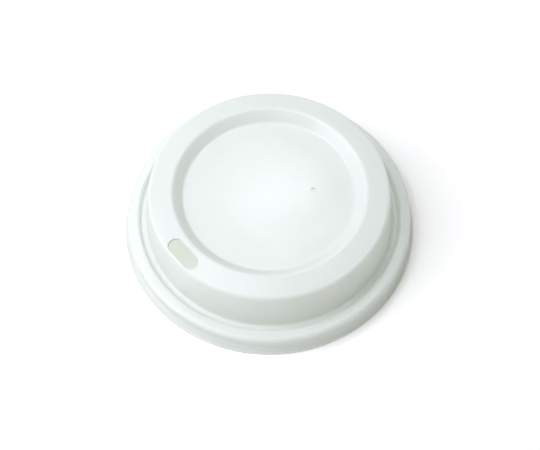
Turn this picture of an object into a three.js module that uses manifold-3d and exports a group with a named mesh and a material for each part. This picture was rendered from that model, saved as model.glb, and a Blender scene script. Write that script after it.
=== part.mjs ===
// A drinking lid for a takeaway cup, formed in one piece from thin white plastic sheet.
// Millimetres, +Z up. The lid stands on its foot with the origin at the centre of its base,
// and the sip hole lies towards -Y.
import * as THREE from 'three';
import { mergeVertices } from 'three/addons/utils/BufferGeometryUtils.js';
import Module from 'manifold-3d';

// The sheet, and the rolled rim of the cup that the lid snaps over
const SHEET = 0.5;
const CUP_RIM_DIAMETER = 90;
const CUP_RIM_ROLL = 3;
const CUP_CLEARANCE = 0.1;

// Skirt: seat over the cup's rim, waist that snaps under it, and the flared foot
const SEAT_TOP = 7.4;
const SNAP_DEPTH = 0.5;
const SKIRT_FLARE = 0.8;
const FOOT_WIDTH = 0.7;

// Valley between the seat and the flank of the raised drinking rim
const VALLEY_DEPTH = 1.5;
const VALLEY_WIDTH = 1.8;
const RISER_SLOPE = THREE.MathUtils.degToRad(72);
const FLANK_SLOPE = THREE.MathUtils.degToRad(84);

// Drinking rim and the recess inside it
const RIM_HEIGHT = 21.9;
const RIM_WIDTH = 7.4;
const RIM_FALL = THREE.MathUtils.degToRad(11);
const RECESS_DEPTH = 3;
const RECESS_SLOPE = THREE.MathUtils.degToRad(42);
const FLOOR_DOME = 0.8;

// Inside radius of each bend in the sheet
const FLOOR_BEND = 1.2;
const RIM_INNER_BEND = 0.9;
const RIM_OUTER_BEND = 0.6;
const VALLEY_BEND = 0.7;
const SEAT_BEND = 0.6;
const WAIST_BEND = 1.5;
const FOOT_BEND = 0.3;

// Openings in the sheet: the sip hole through the rim and the vent in the floor
const SIP_HOLE_LENGTH = 12;
const SIP_HOLE_WIDTH = 4.6;
const SIP_HOLE_OUTSET = 0.4;
const VENT_DIAMETER = 1.2;
const VENT_FROM_CENTRE = 14;
const VENT_ANGLE = THREE.MathUtils.degToRad(56);

// Fineness of the facets: flats round the lid, flats round a hole's end, and an arc's chord error
const FLATS_ROUND = 64;
const FLATS_PER_HOLE = 16;
const CHORD_ERROR = 0.04;

// Radii of the visible side, worked inwards from the cup's rim
const seatInside = CUP_RIM_DIAMETER / 2 + CUP_CLEARANCE;
const seatRadius = seatInside + SHEET;
const riserMiddle = seatInside - CUP_RIM_ROLL - CUP_CLEARANCE - SHEET;
const riserRun = VALLEY_DEPTH / Math.tan(RISER_SLOPE);
const riserTop = riserMiddle + riserRun / 2;
const riserFoot = riserMiddle - riserRun / 2;
const flankFoot = riserFoot - VALLEY_WIDTH;
const waistRadius = seatRadius - SNAP_DEPTH;
const skirtFoot = waistRadius + SKIRT_FLARE;
const footRadius = skirtFoot + FOOT_WIDTH;

// Heights of the visible side, and the radii of the rim that follow from them
const valleyHeight = SEAT_TOP - VALLEY_DEPTH;
const waistHeight = SEAT_TOP - SHEET - CUP_RIM_ROLL - SNAP_DEPTH * 3;
const rimFallHeight = RIM_WIDTH * Math.tan(RIM_FALL);
const flankHeight = RIM_HEIGHT - rimFallHeight - valleyHeight;
const rimOuter = flankFoot - flankHeight / Math.tan(FLANK_SLOPE);
const rimInner = rimOuter - RIM_WIDTH;
const rimMiddle = (rimInner + rimOuter) / 2;
const floorHeight = RIM_HEIGHT - RECESS_DEPTH;
const floorRadius = rimInner - RECESS_DEPTH / Math.tan(RECESS_SLOPE);

// The floor is one shallow arc, level at the axis and tangent to the line that meets the recess wall
const domeShoulder = floorRadius / 2;
const domeSlope = Math.atan2(FLOOR_DOME, floorRadius - domeShoulder);
const domeBend = (domeShoulder - FLOOR_BEND) / Math.tan(domeSlope / 2) - SHEET;

// Corners of the visible side from the axis to the foot: radius, height and inside radius of the bend
const corners = [
  [0, floorHeight + FLOOR_DOME, 0],
  [domeShoulder, floorHeight + FLOOR_DOME, domeBend],
  [floorRadius, floorHeight, FLOOR_BEND],
  [rimInner, RIM_HEIGHT, RIM_INNER_BEND],
  [rimOuter, RIM_HEIGHT - rimFallHeight, RIM_OUTER_BEND],
  [flankFoot, valleyHeight, VALLEY_BEND],
  [riserFoot, valleyHeight, VALLEY_BEND],
  [riserTop, SEAT_TOP, SEAT_BEND],
  [seatRadius, SEAT_TOP, SEAT_BEND],
  [waistRadius, waistHeight, WAIST_BEND],
  [skirtFoot, SHEET, FOOT_BEND],
  [footRadius, SHEET, 0],
];

// The direction of one leg of the outline, and the normal of its visible side
function leg(from, to) {
  const along = new THREE.Vector2(to[0] - from[0], to[1] - from[1]).normalize();
  return { along, normal: new THREE.Vector2(-along.y, along.x) };
}

// One bend as an arc tangent to both legs: a list of points, each with the normal of the visible side.
// A bend that is hollow on the visible side has its inside radius there, and the others have it beneath.
function bend([radius, height, inside], before, after) {
  const turn = Math.atan2(before.along.cross(after.along), before.along.dot(after.along));
  const visibleRadius = turn > 0 ? inside : -(inside + SHEET);
  const start = new THREE.Vector2(radius, height);
  start.addScaledVector(before.along, -visibleRadius * Math.tan(turn / 2));
  const centre = start.clone().addScaledVector(before.normal, visibleRadius);
  const flatAngle = 2 * Math.acos(1 - CHORD_ERROR / Math.abs(visibleRadius));
  const flats = Math.ceil(Math.abs(turn) / flatAngle);
  return Array.from({ length: flats + 1 }, (_, i) => {
    const normal = before.normal.clone().rotateAround(new THREE.Vector2(), (turn * i) / flats);
    return { point: centre.clone().addScaledVector(normal, -visibleRadius), normal };
  });
}

// The whole section of the sheet: the underside outwards, then the visible side back to the axis
function sheetSection() {
  const legs = corners.slice(1).map((corner, i) => leg(corners[i], corner));
  const first = { point: new THREE.Vector2(corners[0][0], corners[0][1]), normal: legs[0].normal };
  const end = corners[corners.length - 1];
  const last = { point: new THREE.Vector2(end[0], end[1]), normal: legs[legs.length - 1].normal };
  const bends = corners.slice(1, -1).flatMap((corner, i) => bend(corner, legs[i], legs[i + 1]));
  const visible = [first, ...bends, last];
  const underside = visible.map(({ point, normal }) => point.clone().addScaledVector(normal, -SHEET));
  return [...underside, ...visible.map(({ point }) => point).reverse()];
}

// An upright cutter that passes through the sheet, from an outline seen from above
function cutter(outline, bottom, top) {
  const geometry = new THREE.ExtrudeGeometry(outline, {
    depth: top - bottom,
    bevelEnabled: false,
    curveSegments: FLATS_PER_HOLE / 2,
  });
  return geometry.translate(0, 0, bottom);
}

// An obround outline centred on the origin, with its length along X
function obround(length, width) {
  const end = width / 2;
  const straight = length / 2 - end;
  const outline = new THREE.Shape();
  outline.absarc(straight, 0, end, -Math.PI / 2, Math.PI / 2, false);
  outline.absarc(-straight, 0, end, Math.PI / 2, (Math.PI * 3) / 2, false);
  return outline;
}

const wasm = await Module();
wasm.setup();

// A closed geometry as a solid, with its shared vertices merged and its empty triangles left out
function solid(geometry) {
  const bare = geometry.clone();
  bare.deleteAttribute('normal');
  bare.deleteAttribute('uv');
  const merged = mergeVertices(bare);
  const index = merged.index.array;
  const triVerts = [];
  for (let i = 0; i < index.length; i += 3) {
    const [a, b, c] = index.slice(i, i + 3);
    if (a !== b && b !== c && c !== a) triVerts.push(a, b, c);
  }
  return new wasm.Manifold(new wasm.Mesh({
    numProp: 3,
    vertProperties: merged.attributes.position.array,
    triVerts: new Uint32Array(triVerts),
  }));
}

// A solid as a geometry that can be drawn
function drawable(body) {
  const { vertProperties, triVerts } = body.getMesh();
  const geometry = new THREE.BufferGeometry();
  geometry.setAttribute('position', new THREE.BufferAttribute(vertProperties, 3));
  geometry.setIndex(new THREE.BufferAttribute(triVerts, 1));
  geometry.computeVertexNormals();
  return geometry;
}

// The formed sheet is the section turned about +Z
function formedSheet() {
  const turned = new THREE.LatheGeometry(sheetSection(), FLATS_ROUND);
  return turned.rotateX(Math.PI / 2);
}

// The sip hole is an obround on the rim, a little outside its middle, cut straight down
function sipHole() {
  const top = RIM_HEIGHT + SHEET;
  const bottom = RIM_HEIGHT - rimFallHeight - SHEET * 2;
  const hole = cutter(obround(SIP_HOLE_LENGTH, SIP_HOLE_WIDTH), bottom, top);
  return hole.translate(0, -rimMiddle - SIP_HOLE_OUTSET, 0);
}

// The vent is a pinhole through the floor
function vent() {
  const outline = new THREE.Shape().absarc(0, 0, VENT_DIAMETER / 2, 0, Math.PI * 2, false);
  const hole = cutter(outline, floorHeight - SHEET * 2, floorHeight + FLOOR_DOME + SHEET);
  return hole.translate(VENT_FROM_CENTRE * Math.cos(VENT_ANGLE), VENT_FROM_CENTRE * Math.sin(VENT_ANGLE), 0);
}

const whitePlastic = new THREE.MeshStandardMaterial({ color: 0xf0f3f1, roughness: 0.38, metalness: 0 });

const body = solid(formedSheet()).subtract(solid(sipHole())).subtract(solid(vent()));
const lid = new THREE.Mesh(drawable(body), whitePlastic);
lid.name = 'lid';

const drinkingLid = new THREE.Group();
drinkingLid.add(lid);

export default drinkingLid;
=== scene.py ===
# A plastic drinking lid for a takeaway cup, standing on its foot on a white ground.
# Metres, +Z up, with the origin at the centre of the base and the sip hole towards -Y.
import math
from bisect import bisect_right

import bmesh
import bpy
from mathutils import Matrix, Quaternion, Vector


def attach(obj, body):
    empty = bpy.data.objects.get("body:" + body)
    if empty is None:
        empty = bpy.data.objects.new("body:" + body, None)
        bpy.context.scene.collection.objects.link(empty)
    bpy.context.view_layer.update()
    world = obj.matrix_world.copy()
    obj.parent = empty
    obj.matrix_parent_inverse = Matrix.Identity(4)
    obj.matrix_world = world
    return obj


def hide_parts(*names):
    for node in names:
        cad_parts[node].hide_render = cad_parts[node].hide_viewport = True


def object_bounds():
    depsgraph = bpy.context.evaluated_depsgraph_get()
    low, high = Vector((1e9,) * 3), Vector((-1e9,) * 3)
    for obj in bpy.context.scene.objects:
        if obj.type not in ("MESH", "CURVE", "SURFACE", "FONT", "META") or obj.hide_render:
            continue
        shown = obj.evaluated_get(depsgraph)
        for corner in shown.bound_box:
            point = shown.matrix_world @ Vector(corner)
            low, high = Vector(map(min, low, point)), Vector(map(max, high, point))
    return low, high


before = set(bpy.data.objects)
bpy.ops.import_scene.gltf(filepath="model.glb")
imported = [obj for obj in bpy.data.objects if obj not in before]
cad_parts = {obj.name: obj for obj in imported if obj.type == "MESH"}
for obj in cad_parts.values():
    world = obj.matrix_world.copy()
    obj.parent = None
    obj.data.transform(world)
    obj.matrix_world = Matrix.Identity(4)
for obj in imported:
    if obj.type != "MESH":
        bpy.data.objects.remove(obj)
cad_low, cad_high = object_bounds()

# Section of the formed sheet
# One sheet of white polystyrene, 0.5 mm thick, drawn over a mould: a floor, a raised drinking rim,
# a valley, the seat that covers the cup's rolled rim, and a skirt that snaps under it.
MM = 0.001
SHEET = 0.5 * MM
CUP_RIM_ROLL = 3 * MM
CUP_CLEARANCE = 0.1 * MM
FOOT_WIDTH = 0.7 * MM
SKIRT_FLARE = 0.8 * MM
SNAP_DEPTH = 0.5 * MM
SEAT_TOP = 7.4 * MM
VALLEY_DEPTH = 1.5 * MM
VALLEY_WIDTH = 1.8 * MM
RISER_SLOPE = math.radians(72)
FLANK_SLOPE = math.radians(84)
RIM_HEIGHT = 21.9 * MM
RIM_WIDTH = 7.4 * MM
RIM_FALL = math.radians(11)
RECESS_DEPTH = 3 * MM
RECESS_SLOPE = math.radians(42)
FLOOR_DOME = 0.8 * MM

FLOOR_BEND = 1.2 * MM
RIM_INNER_BEND = 0.9 * MM
RIM_OUTER_BEND = 0.6 * MM
VALLEY_BEND = 0.7 * MM
SEAT_BEND = 0.6 * MM
WAIST_BEND = 1.5 * MM
FOOT_BEND = 0.3 * MM

foot_radius = cad_high.x
skirt_foot = foot_radius - FOOT_WIDTH
waist_radius = skirt_foot - SKIRT_FLARE
seat_radius = waist_radius + SNAP_DEPTH
riser_middle = seat_radius - SHEET - CUP_RIM_ROLL - CUP_CLEARANCE - SHEET
riser_run = VALLEY_DEPTH / math.tan(RISER_SLOPE)
riser_top = riser_middle + riser_run / 2
riser_foot = riser_middle - riser_run / 2
flank_foot = riser_foot - VALLEY_WIDTH
valley_height = SEAT_TOP - VALLEY_DEPTH
waist_height = SEAT_TOP - SHEET - CUP_RIM_ROLL - SNAP_DEPTH * 3
rim_fall_height = RIM_WIDTH * math.tan(RIM_FALL)
rim_outer = flank_foot - (RIM_HEIGHT - rim_fall_height - valley_height) / math.tan(FLANK_SLOPE)
rim_inner = rim_outer - RIM_WIDTH
rim_middle = (rim_inner + rim_outer) / 2
floor_height = RIM_HEIGHT - RECESS_DEPTH
floor_radius = rim_inner - RECESS_DEPTH / math.tan(RECESS_SLOPE)
dome_shoulder = floor_radius / 2
dome_slope = math.atan2(FLOOR_DOME, floor_radius - dome_shoulder)
dome_bend = (dome_shoulder - FLOOR_BEND) / math.tan(dome_slope / 2) - SHEET

corners = [
    (0, floor_height + FLOOR_DOME, 0),
    (dome_shoulder, floor_height + FLOOR_DOME, dome_bend),
    (floor_radius, floor_height, FLOOR_BEND),
    (rim_inner, RIM_HEIGHT, RIM_INNER_BEND),
    (rim_outer, RIM_HEIGHT - rim_fall_height, RIM_OUTER_BEND),
    (flank_foot, valley_height, VALLEY_BEND),
    (riser_foot, valley_height, VALLEY_BEND),
    (riser_top, SEAT_TOP, SEAT_BEND),
    (seat_radius, SEAT_TOP, SEAT_BEND),
    (waist_radius, waist_height, WAIST_BEND),
    (skirt_foot, SHEET, FOOT_BEND),
    (foot_radius, SHEET, 0),
]

MESH_STEP = 0.5 * MM
MESH_STEP_SLACK = 0.01
MESH_TURN = math.radians(9)


def normal_of(along):
    """The normal of the visible side, for the direction of a leg of the section."""
    return Vector((-along.y, along.x))


def bend(corner, inside, before, after):
    """The arc of one bend as (point, normal) pairs on the visible side, tangent to both legs."""
    turn = math.atan2(before.cross(after), before.dot(after))
    radius = inside if turn > 0 else -(inside + SHEET)
    start = corner - before * radius * math.tan(turn / 2)
    centre = start + normal_of(before) * radius
    flats = math.ceil(max(abs(turn) / MESH_TURN, abs(turn * radius) / MESH_STEP))
    normals = [Matrix.Rotation(turn * i / flats, 2) @ normal_of(before) for i in range(flats + 1)]
    return [(centre - normal * radius, normal) for normal in normals]


def visible_side():
    """The visible side of the section, from the axis to the foot, as (point, normal) pairs."""
    points = [Vector((radius, height)) for radius, height, _ in corners]
    legs = [(b - a).normalized() for a, b in zip(points, points[1:])]
    coarse = [(points[0], normal_of(legs[0]))]
    for corner, (_, _, inside), before, after in zip(points[1:], corners[1:], legs, legs[1:]):
        coarse += bend(corner, inside, before, after)
    coarse.append((points[-1], normal_of(legs[-1])))
    fine = coarse[:1]
    for (a, normal_a), (b, normal_b) in zip(coarse, coarse[1:]):
        steps = max(1, math.ceil((b - a).length / MESH_STEP - MESH_STEP_SLACK))
        for i in range(1, steps + 1):
            fine.append((a.lerp(b, i / steps), normal_a.lerp(normal_b, i / steps)))
    return fine


visible = visible_side()
underside = [(point - normal * SHEET, normal) for point, normal in visible]
section = [point for point, _ in underside] + [point for point, _ in reversed(visible)]

# The formed sheet
# The section turned about the upright axis, as the round mould gives it: each row of the mesh is
# one point of the section, and each column is one step round.
COLUMNS = 256
HALF_INDEX = 0.5
WELD_DISTANCE = 0.001 * MM

outline_mesh = bpy.data.meshes.new("section")
outline_mesh.from_pydata(
    [(point.x, 0, point.y) for point in section], [(i, i + 1) for i in range(len(section) - 1)], []
)


def turned_sheet_tree():
    """Geometry nodes that turn a section in the XZ plane about Z and number its rows and columns."""
    tree = bpy.data.node_groups.new("turned sheet", "GeometryNodeTree")
    tree.interface.new_socket("Section", in_out="INPUT", socket_type="NodeSocketGeometry")
    tree.interface.new_socket("Columns", in_out="INPUT", socket_type="NodeSocketInt")
    tree.interface.new_socket("Plastic", in_out="INPUT", socket_type="NodeSocketMaterial")
    tree.interface.new_socket("Sheet", in_out="OUTPUT", socket_type="NodeSocketGeometry")
    link = tree.links.new

    def node(kind, **settings):
        made = tree.nodes.new(kind)
        for name, value in settings.items():
            setattr(made, name, value)
        return made

    def math_node(operation, first, second=None):
        made = node("ShaderNodeMath", operation=operation)
        for socket, value in zip(made.inputs, (first, second)):
            if isinstance(value, bpy.types.NodeSocket):
                link(value, socket)
            elif value is not None:
                socket.default_value = value
        return made.outputs[0]

    given = node("NodeGroupInput")
    points = node("GeometryNodeAttributeDomainSize", component="MESH")
    link(given.outputs["Section"], points.inputs[0])
    columns_with_seam = math_node("ADD", given.outputs["Columns"], 1)
    grid = node("GeometryNodeMeshGrid")
    link(points.outputs["Point Count"], grid.inputs["Vertices X"])
    link(columns_with_seam, grid.inputs["Vertices Y"])

    index = node("GeometryNodeInputIndex").outputs[0]
    middle = math_node("ADD", index, HALF_INDEX)
    row = math_node("FLOOR", math_node("DIVIDE", middle, columns_with_seam))
    column = math_node("SUBTRACT", index, math_node("MULTIPLY", row, columns_with_seam))
    angle = math_node("MULTIPLY", math_node("DIVIDE", column, given.outputs["Columns"]), math.tau)

    place = node("GeometryNodeSampleIndex", data_type="FLOAT_VECTOR", domain="POINT")
    link(given.outputs["Section"], place.inputs["Geometry"])
    link(node("GeometryNodeInputPosition").outputs[0], place.inputs["Value"])
    link(row, place.inputs["Index"])
    parts = node("ShaderNodeSeparateXYZ")
    link(place.outputs[0], parts.inputs[0])
    turned = node("ShaderNodeCombineXYZ")
    link(math_node("MULTIPLY", parts.outputs["X"], math_node("COSINE", angle)), turned.inputs["X"])
    link(math_node("MULTIPLY", parts.outputs["X"], math_node("SINE", angle)), turned.inputs["Y"])
    link(parts.outputs["Z"], turned.inputs["Z"])

    wrapped = node("GeometryNodeSetPosition")
    link(grid.outputs["Mesh"], wrapped.inputs["Geometry"])
    link(turned.outputs[0], wrapped.inputs["Position"])
    numbered = wrapped.outputs[0]
    for name, value in (("row", row), ("column", column)):
        stored = node("GeometryNodeStoreNamedAttribute", data_type="INT", domain="POINT")
        stored.inputs["Name"].default_value = name
        link(numbered, stored.inputs["Geometry"])
        link(value, stored.inputs["Value"])
        numbered = stored.outputs[0]

    welded = node("GeometryNodeMergeByDistance")
    welded.inputs["Distance"].default_value = WELD_DISTANCE
    link(numbered, welded.inputs["Geometry"])
    smooth = node("GeometryNodeSetShadeSmooth")
    link(welded.outputs[0], smooth.inputs["Geometry"])
    real = node("GeometryNodeRealizeInstances")
    link(smooth.outputs[0], real.inputs[0])
    coloured = node("GeometryNodeSetMaterial")
    link(real.outputs[0], coloured.inputs["Geometry"])
    link(given.outputs["Plastic"], coloured.inputs["Material"])
    link(coloured.outputs[0], node("NodeGroupOutput").inputs[0])
    return tree


plastic = bpy.data.materials.new("satin white plastic")
lid = bpy.data.objects.new("drinking_lid", outline_mesh)
bpy.context.scene.collection.objects.link(lid)
turning = lid.modifiers.new("turned sheet", "NODES")
turning.node_group = turned_sheet_tree()
sockets = {item.name: item.identifier for item in turning.node_group.interface.items_tree}
turning[sockets["Columns"]] = COLUMNS
turning[sockets["Plastic"]] = plastic
turned = bpy.data.meshes.new_from_object(lid.evaluated_get(bpy.context.evaluated_depsgraph_get()))
lid.modifiers.remove(turning)
lid.data = turned

# Sip hole and vent
# Both are punched through the formed sheet: an obround on the drinking rim, a little outside its
# middle, and a pinhole in the floor. The punch leaves a fine roll at the upper edge.
SIP_HOLE_LENGTH = 12 * MM
SIP_HOLE_WIDTH = 4.6 * MM
SIP_HOLE_OUTSET = 0.4 * MM
SIP_HOLE_ANGLE = math.radians(-90)
SIP_HOLE_ROLL = 0.15 * MM
VENT_DIAMETER = 1.2 * MM
VENT_FROM_CENTRE = 14 * MM
VENT_ANGLE = math.radians(56)
VENT_ROLL = 0.08 * MM
ROLL_STEPS = 4
RELAX_ROUND = 2.2
RELAX_ACROSS = 1.32
SPARE_ROWS = 2
SHARP_EDGE = math.radians(35)

radii = [point.x for point, _ in visible]
rim_end = radii.index(max(radius for radius in radii if radius < rim_outer))


def surface_at(radius):
    """The visible side's height and normal at a radius on the floor or the drinking rim."""
    i = bisect_right(radii, radius, hi=rim_end) - 1
    share = (radius - radii[i]) / (radii[i + 1] - radii[i])
    (a, normal_a), (b, normal_b) = visible[i], visible[i + 1]
    return a.lerp(b, share).y, normal_a.lerp(normal_b, share)


def on_sheet(place, depth=0):
    """A point over the plan place, that far below the visible side, square to the sheet."""
    height, normal = surface_at(place.length)
    outwards = place.normalized()
    return Vector((*(place - outwards * normal.x * depth), height - normal.y * depth))


def obround_reach(x, y, half_length, half_width):
    """How far to stretch (x, y) so that it lies on an obround centred on the origin."""
    x, y = abs(x), abs(y)
    straight = half_length - half_width
    if y > 0 and x * half_width / y <= straight:
        return half_width / y
    square = x * x + y * y
    along = x * straight
    return (along + math.sqrt(along**2 - square * (straight**2 - half_width**2))) / square


def punch(shape, distance, angle, length, width, roll):
    """Opens a hole in both sides of the sheet, joins them, and rolls the upper edge."""
    cells = {(v[row_layer], v[column_layer] % COLUMNS): v for v in shape.verts}
    last_row = len(section) - 1
    outwards = Vector((math.cos(angle), math.sin(angle)))
    sideways = Vector((-outwards.y, outwards.x))
    centre = outwards * distance
    step = math.tau / COLUMNS
    middle = round(angle / step)
    half_columns = max(1, round(length / 2 / distance / step))
    low = min(range(len(radii)), key=lambda i: abs(radii[i] - distance + width / 2))
    high = min(range(len(radii)), key=lambda i: abs(radii[i] - distance - width / 2) + (i <= low))

    def pair(i, j):
        column = (middle + j) % COLUMNS
        return cells[last_row - i, column], cells[i, column]

    def place_of(i, j, widen):
        """Where a mesh point goes in plan: onto the hole's edge, easing back to where it was."""
        across = (radii[i] - (radii[low] + radii[high]) / 2) / ((radii[high] - radii[low]) / 2)
        around = j / half_columns
        reach = max(abs(across), abs(around))
        x, y = around / reach * length / 2, across / reach * width / 2
        stretch = obround_reach(x, y, length / 2 + widen, width / 2 + widen)
        edge = centre + sideways * x * stretch + outwards * y * stretch
        ease = max((abs(across) - 1) / (RELAX_ACROSS - 1), (abs(around) - 1) / (RELAX_ROUND - 1))
        ease = min(1, max(0, ease))
        plain = Vector((math.cos((middle + j) * step), math.sin((middle + j) * step))) * radii[i]
        return edge.lerp(plain, ease * ease * (3 - 2 * ease))

    wide = math.ceil(half_columns * RELAX_ROUND)
    tall = math.ceil((high - low) * RELAX_ACROSS) + SPARE_ROWS
    inside = [(i, j) for i in range(low + 1, high) for j in range(1 - half_columns, half_columns)]
    for i in range(low - tall, high + tall + 1):
        for j in range(-wide, wide + 1):
            if (i, j) in inside or not same_stretch(i, distance):
                continue
            upper, lower = pair(i, j)
            upper.co = on_sheet(place_of(i, j, roll))
            lower.co = on_sheet(place_of(i, j, 0), SHEET)
    edge = [(low, j) for j in range(-half_columns, half_columns)]
    edge += [(i, half_columns) for i in range(low, high)]
    edge += [(high, j) for j in range(half_columns, -half_columns, -1)]
    edge += [(i, -half_columns) for i in range(high, low, -1)]
    block_points = {v for cell in edge + inside for v in pair(*cell)}
    block = [face for face in shape.faces if all(v in block_points for v in face.verts)]
    uppers = [pair(*cell)[0] for cell in edge]
    lowers = [pair(*cell)[1] for cell in edge]
    bmesh.ops.delete(shape, geom=block, context="FACES")
    loops = [uppers]
    for k in range(1, ROLL_STEPS + 1):
        turn = math.pi / 2 * k / ROLL_STEPS
        loop = []
        for i, j in edge:
            place = place_of(i, j, roll * (1 - math.sin(turn)))
            loop.append(shape.verts.new(on_sheet(place, roll * (1 - math.cos(turn)))))
        loops.append(loop)
    loops.append(lowers)
    for above, below in zip(loops, loops[1:]):
        for i in range(len(edge)):
            k = (i + 1) % len(edge)
            shape.faces.new((above[i], above[k], below[k], below[i])).smooth = True


def same_stretch(i, distance):
    """Whether a row lies on the same flat stretch of the sheet as a hole at that distance."""
    if distance > floor_radius:
        return rim_inner < radii[i] < rim_outer
    return 0 < i and radii[i] < floor_radius - FLOOR_BEND


shape = bmesh.new()
shape.from_mesh(turned)
row_layer = shape.verts.layers.int["row"]
column_layer = shape.verts.layers.int["column"]
sip_place = rim_middle + SIP_HOLE_OUTSET
punch(shape, sip_place, SIP_HOLE_ANGLE, SIP_HOLE_LENGTH, SIP_HOLE_WIDTH, SIP_HOLE_ROLL)
punch(shape, VENT_FROM_CENTRE, VENT_ANGLE, VENT_DIAMETER, VENT_DIAMETER, VENT_ROLL)
loose = [v for v in shape.verts if not v.link_faces]
bmesh.ops.delete(shape, geom=loose, context="VERTS")
bmesh.ops.recalc_face_normals(shape, faces=shape.faces)
for edge in shape.edges:
    edge.smooth = edge.calc_face_angle(0) < SHARP_EDGE
shape.to_mesh(turned)
shape.free()

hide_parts("lid")
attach(lid, "root")

# White plastic
# Polystyrene sheet with a satin gloss, thin enough to let light through. The mould leaves a fine
# grain and slow waves in it, and the steep walls have faint upright draw marks.
PLASTIC_WHITE = (0.89, 0.905, 0.895, 1)
GLOW_WHITE = (0.97, 1, 0.95, 1)
GLOW_SHARE = 0.43
PLASTIC_IOR = 1.55
ROUGHNESS_LOW = 0.16
ROUGHNESS_HIGH = 0.28
GRAIN_SIZE = 0.35 * MM
GRAIN_HEIGHT = 0.004 * MM
DRAW_MARK_SIZE = 1.4 * MM
DRAW_MARK_HEIGHT = 0.03 * MM
DRAW_MARK_STRETCH = 12
WAVE_SIZE = 12 * MM
WAVE_HEIGHT = 0.25 * MM

plastic.use_nodes = True
nodes = plastic.node_tree.nodes
links = plastic.node_tree.links
surface = nodes["Principled BSDF"]
surface.inputs["Base Color"].default_value = PLASTIC_WHITE
surface.inputs["IOR"].default_value = PLASTIC_IOR
place = nodes.new("ShaderNodeTexCoord").outputs["Object"]


def noise(size, detail, upright_stretch=1):
    """Noise of a given size on the sheet, drawn out along the upright axis."""
    stretched = nodes.new("ShaderNodeMapping")
    stretched.inputs["Scale"].default_value = (1, 1, 1 / upright_stretch)
    links.new(place, stretched.inputs["Vector"])
    made = nodes.new("ShaderNodeTexNoise")
    made.inputs["Scale"].default_value = 1 / size
    made.inputs["Detail"].default_value = detail
    links.new(stretched.outputs[0], made.inputs["Vector"])
    return made.outputs["Fac"]


gloss = nodes.new("ShaderNodeMapRange")
gloss.inputs["To Min"].default_value = ROUGHNESS_LOW
gloss.inputs["To Max"].default_value = ROUGHNESS_HIGH
links.new(noise(WAVE_SIZE, detail=4), gloss.inputs["Value"])
links.new(gloss.outputs[0], surface.inputs["Roughness"])
relief = (
    (noise(WAVE_SIZE, detail=1), WAVE_HEIGHT),
    (noise(DRAW_MARK_SIZE, detail=2, upright_stretch=DRAW_MARK_STRETCH), DRAW_MARK_HEIGHT),
    (noise(GRAIN_SIZE, detail=2), GRAIN_HEIGHT),
)
normal = None
for pattern, height in relief:
    bump = nodes.new("ShaderNodeBump")
    bump.inputs["Distance"].default_value = height
    links.new(pattern, bump.inputs["Height"])
    if normal:
        links.new(normal, bump.inputs["Normal"])
    normal = bump.outputs[0]
links.new(normal, surface.inputs["Normal"])
glow = nodes.new("ShaderNodeBsdfTranslucent")
glow.inputs["Color"].default_value = GLOW_WHITE
sheet_light = nodes.new("ShaderNodeMixShader")
sheet_light.inputs["Fac"].default_value = GLOW_SHARE
links.new(surface.outputs[0], sheet_light.inputs[1])
links.new(glow.outputs[0], sheet_light.inputs[2])
links.new(sheet_light.outputs[0], nodes["Material Output"].inputs["Surface"])

# Ground
# A wide white table top with the lid's soft shadow on it. Away from the lamps it is lifted to
# white, so that it meets the white backdrop without a grey horizon.
CARD_WHITE = (0.96, 0.95, 0.915, 1)
CARD_ROUGHNESS = 0.9
GROUND_SIZE = 3
GROUND_LIFT = 0.19
FULL_WHITE = 1
LAMPLIT_RADIUS = 0.25
WHITE_RADIUS = 0.9
ground_mesh = bpy.data.meshes.new("ground")
half = GROUND_SIZE / 2
ground_mesh.from_pydata(
    [(-half, -half, 0), (half, -half, 0), (half, half, 0), (-half, half, 0)], [], [(0, 1, 2, 3)]
)
ground = bpy.data.objects.new("ground", ground_mesh)
bpy.context.scene.collection.objects.link(ground)
white_card = bpy.data.materials.new("white card")
white_card.use_nodes = True
card = white_card.node_tree.nodes["Principled BSDF"]
card.inputs["Base Color"].default_value = CARD_WHITE
card.inputs["Roughness"].default_value = CARD_ROUGHNESS
card.inputs["Specular IOR Level"].default_value = 0
card.inputs["Emission Color"].default_value = (1, 1, 1, 1)


def background_rays(tree):
    """One for the rays that show a background: the camera's, and those by way of gloss or glass."""
    rays = tree.nodes.new("ShaderNodeLightPath").outputs
    seen = rays["Is Camera Ray"]
    for kind in ("Is Glossy Ray", "Is Transmission Ray"):
        either = tree.nodes.new("ShaderNodeMath")
        either.operation = "MAXIMUM"
        tree.links.new(seen, either.inputs[0])
        tree.links.new(rays[kind], either.inputs[1])
        seen = either.outputs[0]
    return seen


card_tree = white_card.node_tree
card_place = card_tree.nodes.new("ShaderNodeTexCoord").outputs["Object"]
from_lid = card_tree.nodes.new("ShaderNodeVectorMath")
from_lid.operation = "LENGTH"
card_tree.links.new(card_place, from_lid.inputs[0])
whiter = card_tree.nodes.new("ShaderNodeMapRange")
whiter.inputs["From Min"].default_value = LAMPLIT_RADIUS
whiter.inputs["From Max"].default_value = WHITE_RADIUS
whiter.inputs["To Min"].default_value = GROUND_LIFT
whiter.inputs["To Max"].default_value = FULL_WHITE
card_tree.links.new(from_lid.outputs["Value"], whiter.inputs["Value"])
lift = card_tree.nodes.new("ShaderNodeMath")
lift.operation = "MULTIPLY"
card_tree.links.new(background_rays(card_tree), lift.inputs[0])
card_tree.links.new(whiter.outputs[0], lift.inputs[1])
card_tree.links.new(lift.outputs[0], card.inputs["Emission Strength"])
ground_mesh.materials.append(white_card)

# Studio light
# Two wide soft lamps high on the left, the cooler one almost overhead, a softbox behind the lid
# that its floor reflects, and an even pale room that the camera sees as white.
CAMERA_AZIMUTH = math.radians(49.5)
CAMERA_ELEVATION = math.radians(59.8)
ROOM_COLOUR = (1, 1, 0.9, 1)
ROOM_STRENGTH = 0.25

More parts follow.
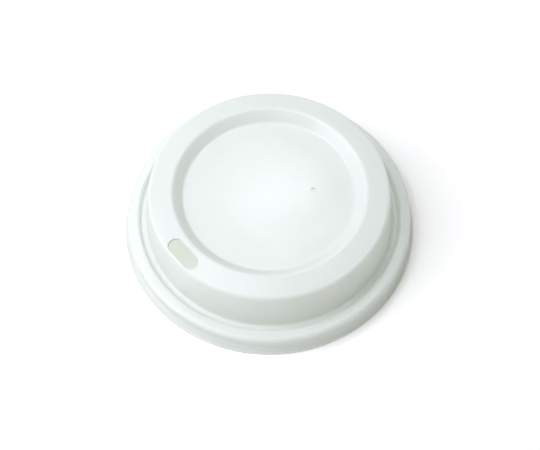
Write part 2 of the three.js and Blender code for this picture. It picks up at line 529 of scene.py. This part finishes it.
right = Vector((math.cos(CAMERA_AZIMUTH), math.sin(CAMERA_AZIMUTH), 0))
away = Vector((-math.sin(CAMERA_AZIMUTH), math.cos(CAMERA_AZIMUTH), 0))
up = Vector((0, 0, 1))


def lamp(name, place, side, power, colour, roll=0):
    """A square area lamp that faces the origin, turned about its own axis by the roll."""
    light = bpy.data.lights.new(name, "AREA")
    light.size = side
    light.energy = power
    light.color = colour
    made = bpy.data.objects.new(name, light)
    made.location = place
    facing = (-place).to_track_quat("-Z", "Y") @ Quaternion((0, 0, 1), roll)
    made.rotation_euler = facing.to_euler()
    bpy.context.scene.collection.objects.link(made)


lamp(
    "key", place=-right * 0.7 - away * 0.1 + up * 0.74, side=0.8, power=7.1, colour=(0.91, 0.91, 1)
)
lamp("overhead", place=-right * 0.42 + up * 1.3, side=0.8, power=6.6, colour=(0.82, 0.85, 1))
lamp(
    "softbox",
    place=right * 0.005 + away * 0.535 + up * 0.9,
    side=0.19,
    power=1,
    colour=(0.93, 0.96, 1),
    roll=math.radians(45),
)

room = bpy.data.worlds.new("pale room")
bpy.context.scene.world = room
room.use_nodes = True
daylight = room.node_tree.nodes["Background"]
daylight.inputs["Color"].default_value = ROOM_COLOUR
daylight.inputs["Strength"].default_value = ROOM_STRENGTH
backdrop = room.node_tree.nodes.new("ShaderNodeBackground")
backdrop.inputs["Color"].default_value = (1, 1, 1, 1)
backdrop.inputs["Strength"].default_value = FULL_WHITE
shown = room.node_tree.nodes.new("ShaderNodeMixShader")
room.node_tree.links.new(background_rays(room.node_tree), shown.inputs["Fac"])
room.node_tree.links.new(daylight.outputs[0], shown.inputs[1])
room.node_tree.links.new(backdrop.outputs[0], shown.inputs[2])
room.node_tree.links.new(shown.outputs[0], room.node_tree.nodes["World Output"].inputs["Surface"])

# Camera
# It looks down on the lid from the front right, at the picture's angle and distance.
CAMERA_DISTANCE = 0.5
FOCAL_LENGTH = 102.6
AIM_RIGHT = 0.24 * MM
AIM_UP = -0.08 * MM
NEAR_CLIP = 0.01

back = right.cross(away) * math.sin(CAMERA_ELEVATION) - away * math.cos(CAMERA_ELEVATION)
camera_up = back.cross(right)
aim = right * AIM_RIGHT + camera_up * AIM_UP
view = bpy.data.cameras.new("camera")
view.lens = FOCAL_LENGTH
view.clip_start = NEAR_CLIP
camera = bpy.data.objects.new("camera", view)
camera.location = aim + back * CAMERA_DISTANCE
camera.rotation_euler = back.to_track_quat("Z", "Y").to_euler()
bpy.context.scene.collection.objects.link(camera)
bpy.context.scene.camera = camera
bpy.context.scene.view_settings.view_transform = "Standard"
